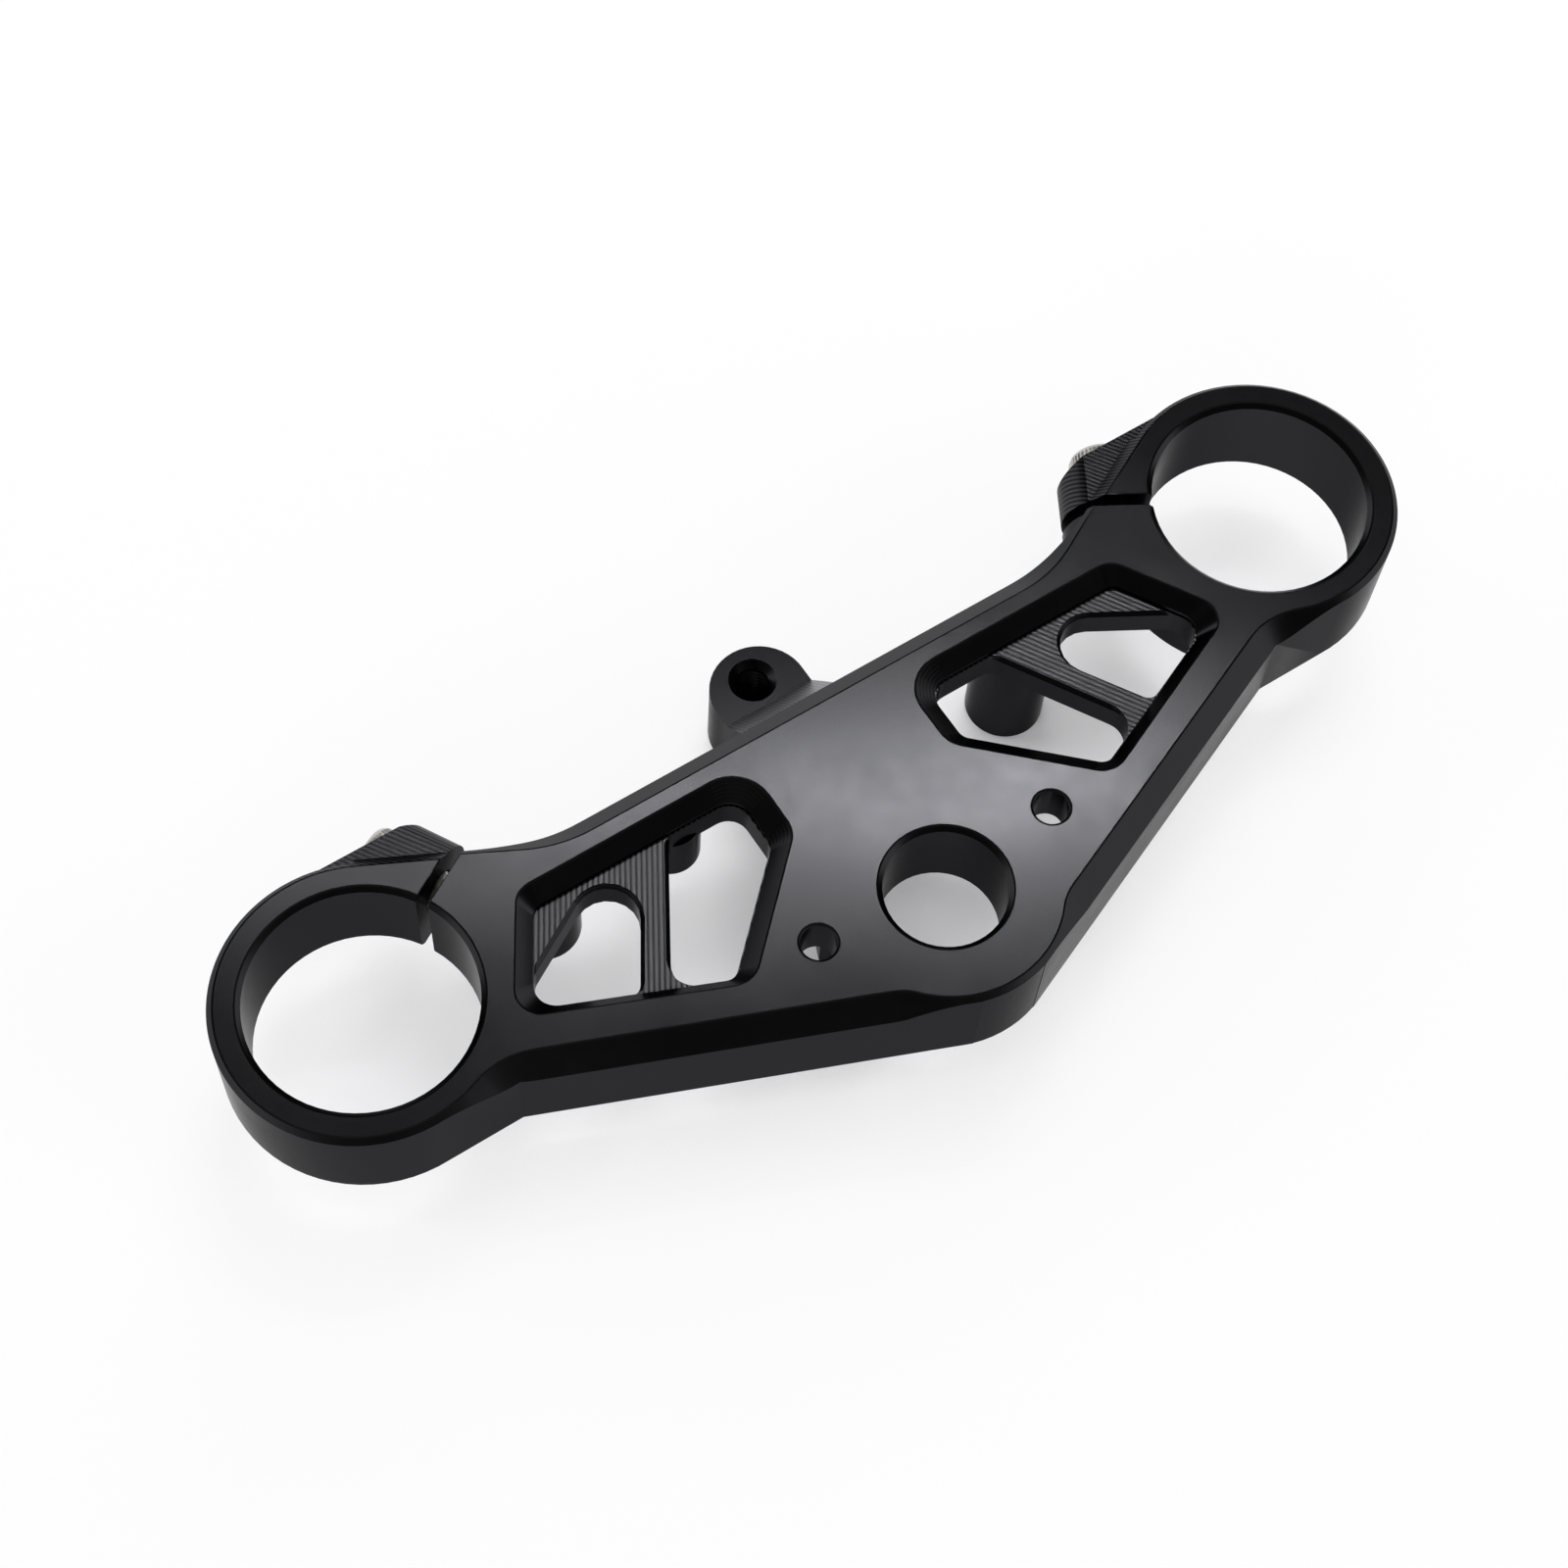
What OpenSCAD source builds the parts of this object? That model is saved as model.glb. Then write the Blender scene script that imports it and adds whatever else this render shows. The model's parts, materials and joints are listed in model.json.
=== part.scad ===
// Upper triple clamp of a motorcycle fork: one milled aluminium plate that
// holds two fork tubes in split rings and the steering stem in its apex.
// Units are millimetres, +Z is up. The origin is on the axis of the stem
// bore, at the flat top face. +X runs to the right ring, +Y to the fork
// tubes and the rear lug.

/* [Overall layout] */
// distance between the two fork bores
fork_spacing = 203.6; // [180:0.2:230]
// stem bore axis to the line through the fork bores
stem_offset = 37.5; // [25:0.5:45]
// height of the rings, the front rib and the apex
body_height = 21; // [16:0.5:28]
// thickness of the plate between them, from the top face down
plate_height = 10.2; // [8:0.1:13]

/* [Fork rings] */
// radius of a fork bore
fork_bore_r = 21.5; // [18:0.25:25]
// outer radius of a ring's wall
ring_r = 27.6; // [25:0.1:31]
// chamfer on both ends of a fork bore
bore_chamfer = 1; // [0.5:0.1:1.5]
// chamfer on the outer edge of a ring and of the apex
edge_chamfer = 1.15; // [0.5:0.05:1.5]
// width of the slit in each ring
slit_gap = 2.6; // [1.5:0.1:4]
// direction of the slit, measured from the line through the rings
slit_angle = 30; // [20:1:45]

/* [Stem end] */
// radius of the stem bore
stem_bore_r = 11.75; // [9:0.25:14]
// wall radius of the apex around the stem bore
apex_r = 23.2; // [20:0.1:27]
// radius of the recess on the underside of the stem bore
stem_recess_r = 15.5; // [14:0.5:18]
// depth of that recess
stem_recess_depth = 2.5; // [1:0.5:4]
// radius of the two small holes beside the stem
side_hole_r = 3.4; // [2.5:0.1:4.5]
// distance between the two small holes
side_hole_spacing = 52.2; // [44:0.2:60]
// how far the small holes lie behind the stem axis
side_hole_y = 3.1; // [0:0.1:8]
// chamfer on the small holes
side_hole_chamfer = 0.38; // [0.2:0.02:0.8]
// length of the small holes, down to a round seat cut in the underside
side_hole_length = 9.8; // [7:0.1:10]
// radius of that seat
side_seat_r = 6; // [5:0.25:7]

/* [Front edge] */
// angle between the front walls and the line through the rings
front_angle = 22.3; // [15:0.1:30]
// width of the bevel along the front
front_bevel = 4.3; // [2:0.1:4.6]
// inner radius where the front bevel runs into a ring
ring_blend_r = 16; // [8:1:24]
// inner radius where the front bevel runs into the apex
apex_blend_r = 10; // [6:1:16]
// width of the rib along the front, under the plate
front_rib_width = 8; // [5:0.5:12]

/* [Rear edge] */
// top edge of the rear rim, behind the line through the rings
rear_edge_y = 7; // [4:0.5:10]
// half length of its straight part
rear_edge_x = 49; // [40:1:56]
// radius of the curve at each end of it
rear_edge_r = 28; // [16:1:40]
// direction of the edge from there to the slit
rear_edge_angle = 27.5; // [18:0.5:36]
// rear wall, behind the line through the rings
rear_wall_y = 11.4; // [8:0.1:14]
// half length of its straight part
rear_wall_x = 51; // [42:1:58]
// radius of the curve that leads it to the slit
rear_wall_r = 45; // [30:1:60]

/* [Clamping lugs] */
// pinch bolt axis to the fork bore axis
pinch_offset = 29; // [27:0.1:33]
// depth of the pinch bolt axis under the top face
pinch_depth = 10.5; // [9:0.1:12]
// radius of the lugs around the bolt
lug_r = 9.4; // [8:0.1:10.2]
// depth of the flat on top of the outer lug
lug_flat_depth = 2.5; // [1:0.1:4]
// direction of the edge between the top face and that flat
lug_edge_angle = 33.4; // [28:0.1:40]
// length of the inner lug, from the middle of the slit
inner_lug_length = 12.5; // [10:0.5:13]

/* [Pinch bolts] */
// thread diameter of a pinch bolt
bolt_d = 8; // [6:1:8]
// length under the head
bolt_length = 25; // [20:1:30]
// head diameter
head_d = 13; // [10:0.5:13.5]
// head height
head_height = 8; // [6:0.5:9]
// seat of the head, from the middle of the slit
seat_offset = 8.6; // [6:0.1:10]
// width of the hexagon in the head
hex_width = 6; // [4:0.5:7]
// depth of the hexagon
hex_depth = 4; // [2:0.5:5]
// chamfer on the head
head_chamfer = 0.7; // [0.3:0.1:1.2]
// chamfer on the tip
tip_chamfer = 0.9; // [0.4:0.1:1.4]
// room around the head in its counterbore
head_room = 0.5; // [0.2:0.05:0.8]
// room around the thread in the outer lug
shank_room = 0.5; // [0.2:0.05:0.6]
// room around the thread in the inner lug
thread_room = 0.05; // [0.03:0.01:0.15]
// how far the threaded hole runs past the tip
thread_run_out = 3; // [1:0.5:4]

/* [Pockets] */
// depth of a pocket's sloped wall
slope_depth = 3; // [2:0.1:3.5]
// depth of the web between the holes
web_depth = 4; // [3.6:0.1:6]
// rear edge of a pocket, behind the line through the rings
pocket_rear = 3.75; // [2:0.05:5]
// inner edge of a pocket, from the centre plane
pocket_inner = 17.4; // [15:0.1:24]
// diagonal edge beside the stem: its distance from the centre point
pocket_diagonal = 2.56; // [0:0.02:6]
// front edge: its distance from the centre point
pocket_front = 47.97; // [44:0.01:50]
// outer edge: its distance from the centre point
pocket_outer = 59.29; // [55:0.01:62]
// direction in which the diagonal edge faces
diagonal_angle = 226.4; // [215:0.1:235]
// direction in which the front edge faces
pocket_front_angle = 293; // [285:0.1:300]
// direction in which the outer edge faces
pocket_outer_angle = 31.6; // [20:0.1:40]
// width of the sloped wall along the rear
slope_rear = 3.55; // [2:0.05:5]
// width of the sloped wall along the inner edge
slope_inner = 4.15; // [2:0.05:5]
// width of the sloped wall along the diagonal
slope_diagonal = 3.5; // [2:0.05:5]
// width of the sloped wall along the front
slope_front = 2.5; // [2:0.05:5]
// width of the sloped wall along the outer edge
slope_outer = 3; // [2:0.05:5]
// ledge left between the sloped wall and a hole
hole_ledge = 0.3; // [0.2:0.05:1]

/* [Holes in the pockets] */
// web edge of the inner hole: distance from the centre point
inner_web = 31.5; // [28:0.1:34]
// direction in which that edge faces
inner_web_angle = 31.1; // [25:0.1:38]
// web edge of the outer hole: distance from the centre point
outer_web = 36.4; // [34.5:0.1:40]
// direction of the outer hole's web edge
outer_web_angle = 211.9; // [205:0.1:220]
// rear edge of the outer hole: distance from the centre point
outer_rear = 26.6; // [22:0.1:28]
// direction in which that edge faces
outer_rear_angle = 60.2; // [50:0.1:70]
// radius of the outer hole's arch
arch_r = 6.2; // [4:0.1:8]
// radius of the inner hole's front corner
web_foot_r = 4.5; // [3:0.1:6]
// chamfer along the edges of the web
web_chamfer = 0.8; // [0.3:0.1:1]

/* [Rear lug] */
// depth of the lug's top face
tail_top = 20; // [16:0.5:24]
// depth of its underside, also that of the long boss
tail_bottom = 36.5; // [30:0.5:42]
// half width and end radius of the lug
tail_r = 10; // [8:0.5:12]
// half width where it leaves the plate
tail_root = 11; // [10:0.5:13]
// centre of the rounded end, behind the line through the rings
tail_y = 24.5; // [20:0.5:30]
// threaded hole, behind the line through the rings
tail_hole_y = 27.1; // [22:0.1:30]
// radius of the threaded hole
tail_hole_r = 3.4; // [2.5:0.1:4.2]
// countersink radius of that hole
tail_sink_r = 4.85; // [4:0.05:6]
// foot of the sloped face in front of the lug's flat
tail_slope_y = 21; // [17:0.5:23]
// depth at which the sloped face leaves the rear wall
tail_slope_top = 8; // [6:0.5:10]

/* [Hidden] */
overcut = 1;
seam = 0.02;
small_cut = 0.05;
reach = 5;
arc_steps = 8;
bevel_step = 5;
fork_x = fork_spacing / 2;
stem_y = -stem_offset;
front_wall = stem_offset * cos(front_angle) + apex_r;
front_edge = front_wall - front_bevel;
ring_top_r = ring_r - edge_chamfer;
apex_top_r = apex_r - edge_chamfer;
half_gap = slit_gap / 2;
cut_depth = max(body_height, pinch_depth + lug_r) + overcut;
front_out = [sin(front_angle), -cos(front_angle)];
front_run = [cos(front_angle), sin(front_angle)];
hex_r = hex_width / sqrt(3);
long_boss = [46.2, 3.2, 7.9];
short_bosses = [[-62.3, 3.9, 7.4], [-33.2, 5.2, 6]];
$fn = 96;

// Directions and corners of outlines given as edges [direction, distance].
function unit(a) = [cos(a), sin(a)];

function corner(e, f, r) =
    [(e[1] - r) * sin(f[0]) - (f[1] - r) * sin(e[0]),
     (f[1] - r) * cos(e[0]) - (e[1] - r) * cos(f[0])] / sin(f[0] - e[0]);

function next(i, list) = (i + 1) % len(list);

function turn(e, f) = (f[0] - e[0] + 360) % 360;

function outline(edges, radii) =
    [for (i = [0 : len(edges) - 1], k = [0 : arc_steps])
        corner(edges[i], edges[next(i, edges)], radii[i])
        + radii[i] * unit(edges[i][0] + turn(edges[i], edges[next(i, edges)]) * k / arc_steps)];

function mirrored(points) =
    concat(points, [for (i = [len(points) - 1 : -1 : 0]) [-points[i].x, points[i].y]]);

// Pocket edges at the top face and at the foot of the sloped wall.
pocket_top = [
    [pocket_outer_angle, pocket_outer],
    [90, pocket_rear],
    [180, -pocket_inner],
    [diagonal_angle, -pocket_diagonal],
    [pocket_front_angle, pocket_front]];
pocket_foot = [
    [pocket_outer_angle, pocket_outer - slope_outer],
    [90, pocket_rear - slope_rear],
    [180, -pocket_inner - slope_inner],
    [diagonal_angle, -pocket_diagonal - slope_diagonal],
    [pocket_front_angle, pocket_front - slope_front]];
pocket_top_radii = [5, 8, 6, 5.5, 5];
pocket_foot_radii = [2.8, 4.5, 3, 3, 4.5];

function ledge(e) = [e[0], e[1] - hole_ledge];

inner_hole = [
    [inner_web_angle, inner_web],
    ledge(pocket_foot[1]),
    ledge(pocket_foot[2]),
    ledge(pocket_foot[3]),
    ledge(pocket_foot[4])];
inner_hole_radii = [
    2.5,
    pocket_foot_radii[1] - hole_ledge,
    pocket_foot_radii[2] - hole_ledge,
    pocket_foot_radii[3] - hole_ledge,
    web_foot_r];
outer_hole = [
    ledge(pocket_foot[0]),
    [outer_rear_angle, outer_rear],
    [outer_web_angle, -outer_web],
    ledge(pocket_foot[4])];
outer_hole_radii = [3, arch_r, 2.5, pocket_foot_radii[4] - hole_ledge];

module both_sides() {
    children();
    mirror([1, 0, 0]) children();
}

// Frame of the right slit: x runs outwards along it, y towards the outer lug.
module at_slit() {
    translate([fork_x, 0, 0])
        mirror([1, 0, 0])
            rotate([0, 0, slit_angle])
                children();
}

// Points of an arc, each with the direction in which the outline faces there.
function arc(centre, radius, from, to, facing) =
    let (steps = ceil(abs(to - from) / bevel_step))
        [for (k = [0 : steps])
            let (a = from + (to - from) * k / steps)
                [centre + radius * unit(a), facing * unit(a)]];

// Top edge of the right half, clockwise from the rear to the apex.
function top_edge() =
    let (
        rear_centre = [rear_edge_x, rear_edge_y + rear_edge_r],
        rear_out = unit(90 + rear_edge_angle),
        rear_end = rear_centre - rear_edge_r * rear_out,
        lug_out = unit(180 - slit_angle - lug_edge_angle),
        lug_run = ring_top_r / cos(lug_edge_angle),
        ring_drop = front_edge + ring_blend_r - fork_x * front_out.x,
        ring_back = sqrt(pow(ring_top_r + ring_blend_r, 2) - pow(ring_drop, 2)),
        ring_blend = [fork_x, 0] + ring_drop * front_out - ring_back * front_run,
        ring_turn = atan2(ring_blend.y, ring_blend.x - fork_x),
        apex_drop = front_edge + apex_blend_r + stem_y * cos(front_angle),
        apex_back = sqrt(pow(apex_top_r + apex_blend_r, 2) - pow(apex_drop, 2)),
        apex_blend = [0, stem_y] + apex_drop * front_out + apex_back * front_run,
        apex_turn = atan2(apex_blend.y - stem_y, apex_blend.x))
    concat(
        arc(rear_centre, rear_edge_r, -90, -90 + rear_edge_angle, -1),
        [[rear_end + 13.2 * unit(rear_edge_angle), rear_out]],
        [[[fork_x, 0] + lug_run * unit(180 - slit_angle), lug_out]],
        arc([fork_x, 0], ring_top_r, 180 - slit_angle - lug_edge_angle, ring_turn, 1),
        arc(ring_blend, ring_blend_r, 180 + ring_turn, 90 + front_angle, -1),
        arc(apex_blend, apex_blend_r, 90 + front_angle, 180 + apex_turn, -1),
        arc([0, stem_y], apex_top_r, apex_turn, -90, 1));

function across(p) = [-p.x, p.y];

// Everything inside the 45 degree bevels of the top face.
module bevel_form() {
    half = top_edge();
    count = len(half);
    loop = concat(
        half,
        [for (i = [count - 2 : -1 : 0]) [across(half[i][0]), across(half[i][1])]]);
    total = len(loop);
    high = [for (e = loop) let (p = e[0] - overcut * e[1]) [p.x, p.y, overcut]];
    low = [for (e = loop) let (p = e[0] + reach * e[1]) [p.x, p.y, -reach]];
    polyhedron(
        points = concat(high, low),
        faces = concat(
            [[for (i = [0 : total - 1]) i]],
            [[for (i = [total - 1 : -1 : 0]) total + i]],
            [for (i = [0 : total - 1]) [i, total + i, total + (i + 1) % total]],
            [for (i = [0 : total - 1]) [i, total + (i + 1) % total, (i + 1) % total]]));
    translate([-160, -80, -reach - 40 + 0.1])
        cube([320, 160, 40]);
}

// Walls of the plate, the rib, the rings and the apex, before any bevel.
module walls() {
    knee_x = (front_wall - ring_r * cos(front_angle)) / sin(front_angle);
    rib_wall = front_wall - front_rib_width;
    rib_y = ring_r - front_rib_width;
    rib_knee_x = (rib_wall - rib_y * cos(front_angle)) / sin(front_angle);
    plate_wall = front_wall - front_rib_width / 2;
    plate_y = ring_r - front_rib_width / 2;
    plate_knee_x = (plate_wall - plate_y * cos(front_angle)) / sin(front_angle);
    slit_far = 37;
    apex_touch = [0, stem_y] + apex_r * front_out;

    difference() {
        translate([0, 0, -plate_height])
            linear_extrude(plate_height)
                polygon(mirrored([
                    [rear_wall_x, rear_wall_y],
                    [fork_x - slit_far * cos(slit_angle), slit_far * sin(slit_angle)],
                    [fork_x, 0],
                    [fork_x, -plate_y],
                    [plate_knee_x, -plate_y],
                    [5, stem_y - 15]]));
        both_sides()
            translate([rear_wall_x, rear_wall_y + rear_wall_r, -plate_height - overcut])
                cylinder(r = rear_wall_r, h = plate_height + 2 * overcut, $fn = 256);
    }
    both_sides() {
        translate([0, 0, -body_height])
            linear_extrude(body_height)
                polygon([
                    [fork_x, -ring_r + seam],
                    [knee_x, -ring_r + seam],
                    apex_touch - seam * front_out - 2 * front_run,
                    apex_touch - front_rib_width * front_out,
                    [rib_knee_x, -rib_y],
                    [fork_x, -rib_y]]);
        translate([fork_x, 0, -body_height])
            cylinder(r = ring_r, h = body_height, $fn = 180);
        at_slit()
            translate([0, 0, -lug_flat_depth - overcut])
                linear_extrude(lug_flat_depth + overcut)
                    polygon([
                        [0, 0],
                        [(ring_top_r + lug_flat_depth + 0.3) / cos(lug_edge_angle), 0],
                        (ring_top_r + lug_flat_depth + 0.3) * unit(lug_edge_angle)]);
    }
    translate([0, stem_y, -body_height])
        cylinder(r = apex_r, h = body_height, $fn = 180);
}

// Sloped recess on the right side of the top face.
module pocket() {
    hull() {
        linear_extrude(small_cut)
            polygon(outline(pocket_top, pocket_top_radii));
        translate([0, 0, -slope_depth])
            linear_extrude(small_cut)
                polygon(outline(pocket_foot, pocket_foot_radii));
    }
    translate([0, 0, -web_depth])
        linear_extrude(web_depth - slope_depth + small_cut)
            polygon(outline(pocket_foot, pocket_foot_radii));
}

// Outline edges of a hole with its web edges moved out and the others in.
function widened(edges, web, by) =
    [for (i = [0 : len(edges) - 1])
        [edges[i][0], edges[i][1] + (search(i, web) != [] ? by : -seam)]];

function wider(radii, round, by) =
    [for (i = [0 : len(radii) - 1]) radii[i] + (search(i, round) != [] ? by : 0)];

// One through-hole, chamfered along its web edges.
module pocket_hole(edges, radii, web, round) {
    translate([0, 0, -plate_height - overcut])
        linear_extrude(plate_height - web_depth + 2 * overcut)
            polygon(outline(edges, radii));
    hull() {
        translate([0, 0, -web_depth])
            linear_extrude(small_cut)
                polygon(outline(
                    widened(edges, web, web_chamfer),
                    wider(radii, round, web_chamfer)));
        translate([0, 0, -web_depth - web_chamfer])
            linear_extrude(small_cut)
                polygon(outline(widened(edges, web, 0), radii));
    }
}

module pocket_holes() {
    pocket_hole(inner_hole, inner_hole_radii, [0], [4]);
    pocket_hole(outer_hole, outer_hole_radii, [1, 2], [1]);
}

// Outer and inner lug of the right pinch bolt.
module clamp_lugs() {
    lug_length = 24;
    fill_end = pinch_offset - 2;
    fill_bottom = -pinch_depth - lug_r + 0.9;
    difference() {
        at_slit() {
            translate([10, 0, fill_bottom])
                cube([fill_end - 10, lug_length, -fill_bottom]);
            translate([pinch_offset, 0, -pinch_depth])
                rotate([-90, 0, 0])
                    cylinder(r = lug_r, h = lug_length);
        }
        translate([fork_x - 60, ring_r - 0.1, -40])
            cube([80, 20, 50]);
        translate([fork_x - 60, -10, -lug_flat_depth])
            cube([100, 60, 10]);
    }
    at_slit() {
        translate([pinch_offset - 8, -inner_lug_length, fill_bottom])
            cube([6, inner_lug_length, lug_r + 1]);
        translate([pinch_offset, -inner_lug_length, -pinch_depth])
            rotate([-90, 0, 0])
                cylinder(r = lug_r, h = inner_lug_length);
    }
}

// Slit, counterbore, clearance hole and threaded hole of the right lug.
module pinch_cuts() {
    at_slit() {
        translate([0, -half_gap, -cut_depth])
            cube([60, slit_gap, cut_depth + overcut]);
        translate([pinch_offset, seat_offset, -pinch_depth])
            rotate([-90, 0, 0])
                cylinder(r = head_d / 2 + head_room, h = 16);
        translate([pinch_offset, 0, -pinch_depth])
            rotate([-90, 0, 0])
                cylinder(r = bolt_d / 2 + shank_room, h = seat_offset + overcut, $fn = 48);
        translate([pinch_offset, seat_offset - bolt_length - thread_run_out, -pinch_depth])
            rotate([-90, 0, 0])
                cylinder(
                    r = bolt_d / 2 + thread_room,
                    h = bolt_length + thread_run_out - seat_offset,
                    $fn = 48);
    }
}

// Bore with a chamfer at its upper end, and at its lower end where wanted.
module chamfered_bore(r, depth, chamfer, both) {
    translate([0, 0, -cut_depth])
        cylinder(r = r, h = cut_depth + overcut);
    translate([0, 0, -chamfer])
        cylinder(r1 = r, r2 = r + chamfer + overcut, h = chamfer + overcut);
    if (both)
        translate([0, 0, -depth - overcut])
            cylinder(r1 = r + chamfer + overcut, r2 = r, h = chamfer + overcut);
}

// Lug behind the stem, with the sloped face that joins it to the plate.
module rear_lug() {
    root_y = 3;
    slope_y = rear_wall_y - 1;
    rise = (tail_top - tail_slope_top) / (tail_slope_y - rear_wall_y);
    difference() {
        translate([0, 0, -tail_bottom])
            linear_extrude(tail_bottom - tail_slope_top + rise) {
                polygon(mirrored([
                    [tail_root, root_y],
                    [tail_root, rear_wall_y],
                    [tail_r - seam, tail_slope_y],
                    [tail_r - seam, tail_y]]));
                translate([0, tail_y])
                    circle(r = tail_r);
            }
        translate([-20, 0, 0])
            rotate([90, 0, 90])
                linear_extrude(40)
                    polygon([
                        [slope_y, -tail_slope_top + rise],
                        [tail_slope_y, -tail_top],
                        [tail_y + 2 * tail_r, -tail_top],
                        [tail_y + 2 * tail_r, 0],
                        [slope_y, 0]]);
    }
}

// The walls with all bevels, pockets and holes of the top side.
module plate() {
    difference() {
        intersection() {
            walls();
            bevel_form();
        }
        both_sides() {
            pocket();
            pocket_holes();
        }
    }
}

module clamp_body() {
    color([0.06, 0.06, 0.065])
    translate([0, stem_offset, 0])
    difference() {
        union() {
            plate();
            both_sides()
                clamp_lugs();
            translate([long_boss.x, long_boss.y, -tail_bottom])
                cylinder(r = long_boss.z, h = tail_bottom - plate_height + overcut);
            for (boss = short_bosses)
                translate([boss.x, boss.y, -body_height])
                    cylinder(r = boss.z, h = body_height - plate_height + overcut);
            rear_lug();
        }
        both_sides() {
            pinch_cuts();
            translate([fork_x, 0, 0])
                chamfered_bore(fork_bore_r, body_height, bore_chamfer, true, $fn = 180);
            translate([side_hole_spacing / 2, stem_y + side_hole_y, 0]) {
                chamfered_bore(side_hole_r, side_hole_length, side_hole_chamfer, true, $fn = 48);
                translate([0, 0, -cut_depth])
                    cylinder(r = side_seat_r, h = cut_depth - side_hole_length, $fn = 64);
            }
        }
        translate([0, stem_y, 0])
            chamfered_bore(stem_bore_r, body_height, bore_chamfer, false);
        translate([0, stem_y, -body_height - overcut])
            cylinder(r = stem_recess_r, h = stem_recess_depth + overcut);
        translate([0, tail_hole_y, -tail_bottom - overcut])
            cylinder(r = tail_hole_r, h = tail_bottom, $fn = 48);
        translate([0, tail_hole_y, -tail_top - tail_sink_r + tail_hole_r])
            cylinder(
                r1 = tail_hole_r,
                r2 = tail_sink_r + overcut,
                h = tail_sink_r - tail_hole_r + overcut,
                $fn = 48);
    }
}

// Socket head bolt along +Z, its seat at the origin.
module pinch_bolt() {
    tip_r = bolt_d / 2;
    difference() {
        union() {
            cylinder(r = head_d / 2, h = head_height - head_chamfer, $fn = 64);
            translate([0, 0, head_height - head_chamfer])
                cylinder(
                    r1 = head_d / 2,
                    r2 = head_d / 2 - head_chamfer,
                    h = head_chamfer,
                    $fn = 64);
            translate([0, 0, tip_chamfer - bolt_length])
                cylinder(r = tip_r, h = bolt_length - tip_chamfer + overcut, $fn = 48);
            translate([0, 0, -bolt_length])
                cylinder(r1 = tip_r - tip_chamfer, r2 = tip_r, h = tip_chamfer, $fn = 48);
        }
        translate([0, 0, head_height - hex_depth])
            cylinder(r = hex_r, h = hex_depth + overcut, $fn = 6);
    }
}

module placed_bolt() {
    at_slit()
        translate([pinch_offset, seat_offset, -pinch_depth])
            rotate([-90, 0, 0])
                pinch_bolt();
}

module pinch_bolt_right() {
    color([0.62, 0.62, 0.6])
        translate([0, stem_offset, 0])
            placed_bolt();
}

module pinch_bolt_left() {
    color([0.62, 0.62, 0.6])
        translate([0, stem_offset, 0])
            mirror([1, 0, 0])
                placed_bolt();
}

clamp_body();
pinch_bolt_left();
pinch_bolt_right();
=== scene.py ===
# %% [markdown]
# A milled triple clamp
#
# The clamp is one plate of aluminium, milled from the solid and anodised black, with two stainless screws
# that pinch its rings shut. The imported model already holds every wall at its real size. This lesson gives
# it what a machine shop and an anodising bath leave behind: cutter lines, broken edges, threads and a satin
# black skin.

# %% Load the frame
import json
import math

import bmesh
import bpy
from mathutils import Matrix, Vector

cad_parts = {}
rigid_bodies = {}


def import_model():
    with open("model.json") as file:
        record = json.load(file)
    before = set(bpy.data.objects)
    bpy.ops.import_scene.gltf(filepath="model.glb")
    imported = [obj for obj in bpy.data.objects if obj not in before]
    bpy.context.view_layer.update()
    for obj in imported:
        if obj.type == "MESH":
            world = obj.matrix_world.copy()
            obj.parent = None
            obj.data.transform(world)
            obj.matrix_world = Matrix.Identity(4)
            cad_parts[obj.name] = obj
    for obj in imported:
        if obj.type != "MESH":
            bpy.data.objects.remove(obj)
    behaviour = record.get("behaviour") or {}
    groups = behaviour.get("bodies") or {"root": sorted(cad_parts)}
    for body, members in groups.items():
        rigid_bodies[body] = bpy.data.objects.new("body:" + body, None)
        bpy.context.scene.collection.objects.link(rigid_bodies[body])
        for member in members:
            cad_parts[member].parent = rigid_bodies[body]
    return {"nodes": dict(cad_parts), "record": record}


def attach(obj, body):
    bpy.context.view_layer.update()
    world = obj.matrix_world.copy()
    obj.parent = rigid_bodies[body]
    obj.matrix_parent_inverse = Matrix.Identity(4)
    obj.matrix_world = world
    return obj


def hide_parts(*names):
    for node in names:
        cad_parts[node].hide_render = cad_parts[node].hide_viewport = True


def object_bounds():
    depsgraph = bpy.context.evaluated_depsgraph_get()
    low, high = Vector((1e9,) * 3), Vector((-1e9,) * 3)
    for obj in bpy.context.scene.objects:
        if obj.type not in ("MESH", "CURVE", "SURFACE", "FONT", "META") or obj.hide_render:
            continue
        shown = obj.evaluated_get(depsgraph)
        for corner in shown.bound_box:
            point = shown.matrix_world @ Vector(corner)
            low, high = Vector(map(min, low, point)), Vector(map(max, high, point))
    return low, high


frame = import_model()
cad_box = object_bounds()
MM = 0.001
print("nodes in the frame:", sorted(frame["nodes"]))

# %% [markdown]
# Driving sizes
#
# The frame keeps the origin on the stem bore. Most shapes of a fork clamp are easier to say from the line
# through the two fork bores, so the record's mounts give the distance between them, and the rest follows
# from there. All sizes are millimetres and turn into metres only when a vertex is made.

# %% Sizes from the record's mounts
mounts = {mount["name"]: mount for mount in frame["record"]["mounts"]}


def mount_mm(name):
    return Vector(mounts[name]["pos_m"]) / MM


fork = mount_mm("fork_bore_right")
tail = mount_mm("lug_thread")
SLIT_ANGLE = math.radians(30)
print(f"fork bores {2 * fork.x:.1f} mm apart, {fork.y:.1f} mm behind the stem")

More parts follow.
